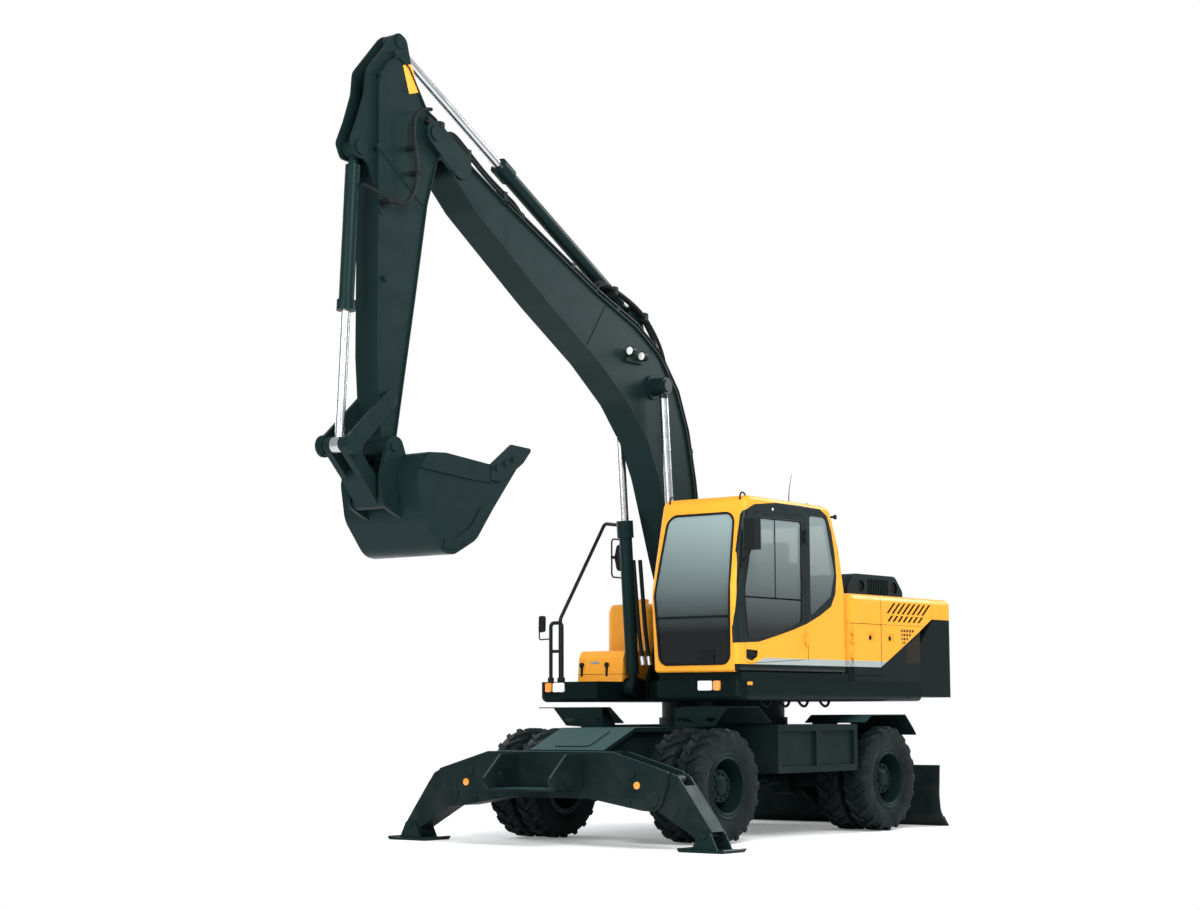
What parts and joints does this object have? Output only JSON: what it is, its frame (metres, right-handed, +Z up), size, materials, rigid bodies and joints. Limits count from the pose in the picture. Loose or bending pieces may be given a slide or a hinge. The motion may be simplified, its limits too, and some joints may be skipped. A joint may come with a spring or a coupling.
{
  "type": "wheeled excavator",
  "caption": "Wheeled excavator with twin tyres, a one-piece boom, an arm and a digging bucket, two front outriggers and a rear blade.",
  "frame": {"origin": "on the ground under the middle of the machine's overall length, on its centre line", "axes": "+X to the front, where the boom reaches, +Y to the machine's left, +Z up"},
  "size_m": [8.2798, 3.94, 7.1152],
  "materials": {
    "frame_paint": "gloss",
    "panel_yellow": "gloss",
    "rod_chrome": "polished",
    "tyre_rubber": "matt",
    "tinted_glass": "clear tint",
    "lamp_lens": "moulded lens",
    "seat_cloth": "woven",
    "engine_iron": "rough",
    "rail_black": "satin"
  },
  "bodies": {
    "undercarriage": {"chassis": "frame_paint", "outrigger_beam": "frame_paint", "axles": "frame_paint", "driveline": "frame_paint", "mudguards": "frame_paint", "side_boxes": "frame_paint"},
    "knuckle_left": {"knuckle_left": "frame_paint"},
    "knuckle_right": {"knuckle_right": "frame_paint"},
    "wheel_front_left": {"front_left_tyres": "tyre_rubber", "front_left_rims": "frame_paint"},
    "wheel_front_right": {"front_right_tyres": "tyre_rubber", "front_right_rims": "frame_paint"},
    "wheel_rear_left": {"rear_left_tyres": "tyre_rubber", "rear_left_rims": "frame_paint"},
    "wheel_rear_right": {"rear_right_tyres": "tyre_rubber", "rear_right_rims": "frame_paint"},
    "leg_left": {"outrigger_leg_left": "frame_paint"},
    "foot_left": {"outrigger_pad_left": "frame_paint"},
    "leg_barrel_left": {"outrigger_barrel_left": "frame_paint"},
    "leg_rod_left": {"outrigger_rod_left": "rod_chrome"},
    "leg_right": {"outrigger_leg_right": "frame_paint"},
    "foot_right": {"outrigger_pad_right": "frame_paint"},
    "leg_barrel_right": {"outrigger_barrel_right": "frame_paint"},
    "leg_rod_right": {"outrigger_rod_right": "rod_chrome"},
    "blade": {"blade": "frame_paint"},
    "blade_barrels": {"blade_cylinder_barrels": "frame_paint"},
    "blade_rods": {"blade_cylinder_rods": "rod_chrome"},
    "upper": {"slew_ring": "frame_paint", "slew_frame": "frame_paint", "counterweight": "frame_paint", "engine_block": "engine_iron", "body_panels": "panel_yellow", "fuel_tank": "panel_yellow", "toolbox": "panel_yellow", "handrails": "rail_black", "lamps": "lamp_lens", "cab_mirror": "rail_black", "cab_shell": "panel_yellow", "cab_glass": "tinted_glass", "cab_interior": "seat_cloth"},
    "hood": {"engine_hood": "frame_paint"},
    "door_left": {"side_door_left": "panel_yellow"},
    "door_right": {"side_door_right": "panel_yellow"},
    "cab_door": {"cab_door": "panel_yellow", "cab_door_glass": "tinted_glass"},
    "box_lid": {"toolbox_lid": "panel_yellow"},
    "boom": {"boom": "frame_paint", "boom_pipes": "rail_black"},
    "boom_barrels": {"boom_cylinder_barrels": "frame_paint"},
    "boom_rods": {"boom_cylinder_rods": "rod_chrome"},
    "arm": {"arm": "frame_paint"},
    "arm_barrel": {"arm_cylinder_barrel": "frame_paint"},
    "arm_rod": {"arm_cylinder_rod": "rod_chrome"},
    "bucket": {"bucket": "frame_paint"},
    "bucket_barrel": {"bucket_cylinder_barrel": "frame_paint"},
    "bucket_rod": {"bucket_cylinder_rod": "rod_chrome"},
    "rockers": {"rocker_links": "frame_paint"},
    "pull_link": {"pull_link": "frame_paint"}
  },
  "joints": [
    {"name": "steer_left", "type": "hinge", "parent": "undercarriage", "child": "knuckle_left", "pos_m": [0.346, 0.85, 0.5275], "axis": [0, 0, 1], "range_deg": [-30, 30]},
    {"name": "steer_right", "type": "hinge", "parent": "undercarriage", "child": "knuckle_right", "pos_m": [0.346, -0.85, 0.5275], "axis": [0, 0, 1], "range_deg": [-30, 30]},
    {"name": "front_left_wheel_spin", "type": "hinge", "parent": "knuckle_left", "child": "wheel_front_left", "pos_m": [0.346, 0.95, 0.5275], "axis": [0, 1, 0], "continuous": true},
    {"name": "rear_left_wheel_spin", "type": "hinge", "parent": "undercarriage", "child": "wheel_rear_left", "pos_m": [-2.524, 0.95, 0.5275], "axis": [0, 1, 0], "continuous": true},
    {"name": "front_right_wheel_spin", "type": "hinge", "parent": "knuckle_right", "child": "wheel_front_right", "pos_m": [0.346, -0.95, 0.5275], "axis": [0, 1, 0], "continuous": true},
    {"name": "rear_right_wheel_spin", "type": "hinge", "parent": "undercarriage", "child": "wheel_rear_right", "pos_m": [-2.524, -0.95, 0.5275], "axis": [0, 1, 0], "continuous": true},
    {"name": "outrigger_left_swing", "type": "hinge", "parent": "undercarriage", "child": "leg_left", "pos_m": [1.305, 1.172, 0.438], "axis": [1, 0, 0], "range_deg": [-8, 65]},
    {"name": "foot_left_tilt", "type": "hinge", "parent": "leg_left", "child": "foot_left", "pos_m": [1.305, 1.725, 0.145], "axis": [-1, 0, 0], "range_deg": [-15, 15]},
    {"name": "outrigger_left_barrel_tilt", "type": "hinge", "parent": "undercarriage", "child": "leg_barrel_left", "pos_m": [1.305, 0.48, 0.6], "axis": [1, 0, 0], "range_deg": [-1.67, 10.05]},
    {"name": "outrigger_left_rod_slide", "type": "slide", "parent": "leg_barrel_left", "child": "leg_rod_left", "axis": [0, 1, 0.0078], "range_m": [-0.25218, 0.03279]},
    {"name": "outrigger_right_swing", "type": "hinge", "parent": "undercarriage", "child": "leg_right", "pos_m": [1.305, -1.172, 0.438], "axis": [-1, 0, 0], "range_deg": [-8, 65]},
    {"name": "foot_right_tilt", "type": "hinge", "parent": "leg_right", "child": "foot_right", "pos_m": [1.305, -1.725, 0.145], "axis": [1, 0, 0], "range_deg": [-15, 15]},
    {"name": "outrigger_right_barrel_tilt", "type": "hinge", "parent": "undercarriage", "child": "leg_barrel_right", "pos_m": [1.305, -0.48, 0.6], "axis": [-1, 0, 0], "range_deg": [-1.67, 10.05]},
    {"name": "outrigger_right_rod_slide", "type": "slide", "parent": "leg_barrel_right", "child": "leg_rod_right", "axis": [0, -1, 0.0078], "range_m": [-0.25218, 0.03279]},
    {"name": "blade_lift", "type": "hinge", "parent": "undercarriage", "child": "blade", "pos_m": [-3.05, 0, 0.48], "axis": [0, 1, 0], "range_deg": [-8, 35]},
    {"name": "blade_barrels_tilt", "type": "hinge", "parent": "undercarriage", "child": "blade_barrels", "pos_m": [-2.95, 0, 1.01], "axis": [0, 1, 0], "range_deg": [-2.98, 11.33]},
    {"name": "blade_rods_slide", "type": "slide", "parent": "blade_barrels", "child": "blade_rods", "axis": [-0.7733, 0, -0.6341], "range_m": [-0.23157, 0.05447]},
    {"name": "slew", "type": "hinge", "parent": "undercarriage", "child": "upper", "pos_m": [-1.35, 0, 1.15], "axis": [0, 0, 1], "continuous": true},
    {"name": "hood_lift", "type": "hinge", "parent": "upper", "child": "hood", "pos_m": [-2.35, 0, 2.389], "axis": [0, 1, 0], "range_deg": [0, 60]},
    {"name": "side_door_left_swing", "type": "hinge", "parent": "upper", "child": "door_left", "pos_m": [-1.87, 1.2433, 1.91], "axis": [0, 0, -1], "range_deg": [0, 100]},
    {"name": "side_door_right_swing", "type": "hinge", "parent": "upper", "child": "door_right", "pos_m": [-1.87, -1.2433, 1.91], "axis": [0, 0, 1], "range_deg": [0, 100]},
    {"name": "cab_door_swing", "type": "hinge", "parent": "upper", "child": "cab_door", "pos_m": [-1.005, 1.2433, 2.4], "axis": [0, 0, 1], "range_deg": [0, 100]},
    {"name": "toolbox_lid_lift", "type": "hinge", "parent": "upper", "child": "box_lid", "pos_m": [-0.748, -0.77, 1.815], "axis": [0, -1, 0], "range_deg": [0, 85]},
    {"name": "boom_lift", "type": "hinge", "parent": "upper", "child": "boom", "pos_m": [-0.85, -0.12, 2.13], "axis": [0, -1, 0], "range_deg": [-84, 15]},
    {"name": "boom_barrels_tilt", "type": "hinge", "parent": "upper", "child": "boom_barrels", "pos_m": [-0.375, -0.12, 1.44], "axis": [0, -1, 0], "range_deg": [-75.39, 13.87]},
    {"name": "boom_rods_slide", "type": "slide", "parent": "boom_barrels", "child": "boom_rods", "axis": [0.0779, 0, 0.997], "range_m": [-1.07641, 0.19386]},
    {"name": "arm_swing", "type": "hinge", "parent": "boom", "child": "arm", "pos_m": [3.05, -0.12, 6.289], "axis": [0, 1, 0], "range_deg": [-103, 17]},
    {"name": "arm_barrel_tilt", "type": "hinge", "parent": "boom", "child": "arm_barrel", "pos_m": [0.05, -0.12, 5.105], "axis": [0, 1, 0], "range_deg": [-7.62, 1.68]},
    {"name": "arm_rod_slide", "type": "slide", "parent": "arm_barrel", "child": "arm_rod", "axis": [0.8682, 0, 0.4963], "range_m": [-1.31809, 0.21922]},
    {"name": "bucket_curl", "type": "hinge", "parent": "arm", "child": "bucket", "pos_m": [3.592, -0.12, 3.452], "axis": [0, 1, 0], "range_deg": [-138, 8]},
    {"name": "rockers_swing", "type": "hinge", "parent": "arm", "child": "rockers", "pos_m": [3.584, -0.12, 3.86], "axis": [0, 1, 0], "range_deg": [-102.62, 6.42]},
    {"name": "pull_link_swing", "type": "hinge", "parent": "bucket", "child": "pull_link", "pos_m": [3.642, -0.12, 2.997], "axis": [0, 1, 0], "range_deg": [-5.82, 92.27]},
    {"name": "bucket_barrel_tilt", "type": "hinge", "parent": "arm", "child": "bucket_barrel", "pos_m": [3.905, -0.12, 6.006], "axis": [0, 1, 0], "range_deg": [-1.19, 0.54]},
    {"name": "bucket_rod_slide", "type": "slide", "parent": "bucket_barrel", "child": "bucket_rod", "axis": [0.0545, 0, -0.9985], "range_m": [-0.92929, 0.05576]}
  ],
  "couplings": [
    {"joint": "steer_right", "follows": "steer_left", "ratio": 1},
    {"joint": "outrigger_left_barrel_tilt", "follows": "outrigger_left_swing", "ratio": 0.14686},
    {"joint": "outrigger_left_rod_slide", "follows": "outrigger_left_swing", "m_per_rad": -0.22053},
    {"joint": "outrigger_right_barrel_tilt", "follows": "outrigger_right_swing", "ratio": 0.14686},
    {"joint": "outrigger_right_rod_slide", "follows": "outrigger_right_swing", "m_per_rad": -0.22053},
    {"joint": "blade_barrels_tilt", "follows": "blade_lift", "ratio": 0.30954},
    {"joint": "blade_rods_slide", "follows": "blade_lift", "m_per_rad": -0.37581},
    {"joint": "boom_barrels_tilt", "follows": "boom_lift", "ratio": 0.89151},
    {"joint": "boom_rods_slide", "follows": "boom_lift", "m_per_rad": 0.73285},
    {"joint": "arm_barrel_tilt", "follows": "arm_swing", "ratio": 0.069164},
    {"joint": "arm_rod_slide", "follows": "arm_swing", "m_per_rad": 0.7321},
    {"joint": "rockers_swing", "follows": "bucket_curl", "ratio": 0.74},
    {"joint": "pull_link_swing", "follows": "bucket_curl", "ratio": -0.665},
    {"joint": "bucket_barrel_tilt", "follows": "bucket_curl", "ratio": 0.005},
    {"joint": "bucket_rod_slide", "follows": "bucket_curl", "m_per_rad": 0.385}
  ]
}
